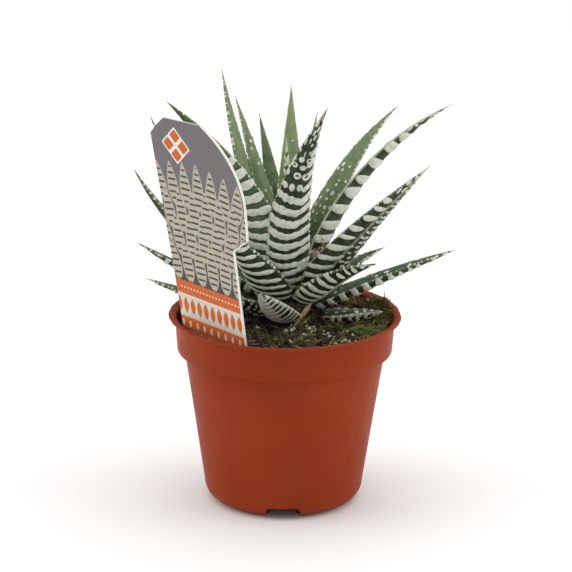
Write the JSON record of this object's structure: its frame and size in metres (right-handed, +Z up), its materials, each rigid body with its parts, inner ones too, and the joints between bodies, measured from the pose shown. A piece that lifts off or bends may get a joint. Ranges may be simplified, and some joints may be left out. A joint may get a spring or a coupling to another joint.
{
  "type": "potted haworthia",
  "caption": "Rosette succulent with long keeled leaves crossed by raised pale bands, growing in peat in a round tapered nursery pot, with a plain plant label standing beside it.",
  "frame": {"origin": "middle of the pot's underside, on the surface that the pot stands on", "axes": "+Z up along the pot's axis, the picture's viewer stands on the -Y side, +X to the viewer's right"},
  "size_m": [0.1171, 0.1016, 0.1554],
  "materials": {
    "pot": "satin injection-moulded plastic in terracotta colour, lightly scuffed",
    "soil": "moist crumbly peat with moss, perlite and fibres",
    "stem": "dull fibrous stem and fleshy pale roots",
    "label": "printed plastic card, low gloss, with plain colour fields",
    "leaf": "waxy dark green leaf crossed by raised white bands and tubercles"
  },
  "bodies": {
    "root": {"pot": "pot", "soil": "soil", "stem": "stem", "label": "label", "leaf_01": "leaf", "leaf_02": "leaf", "leaf_03": "leaf", "leaf_04": "leaf", "leaf_05": "leaf", "leaf_06": "leaf", "leaf_07": "leaf", "leaf_08": "leaf", "leaf_09": "leaf", "leaf_10": "leaf", "leaf_11": "leaf", "leaf_12": "leaf", "leaf_13": "leaf", "leaf_14": "leaf", "leaf_15": "leaf", "leaf_16": "leaf", "leaf_17": "leaf", "leaf_18": "leaf", "leaf_19": "leaf", "leaf_20": "leaf", "leaf_21": "leaf", "leaf_22": "leaf", "leaf_23": "leaf", "leaf_24": "leaf", "leaf_25": "leaf", "leaf_26": "leaf", "leaf_27": "leaf", "leaf_28": "leaf"}
  },
  "joints": []
}
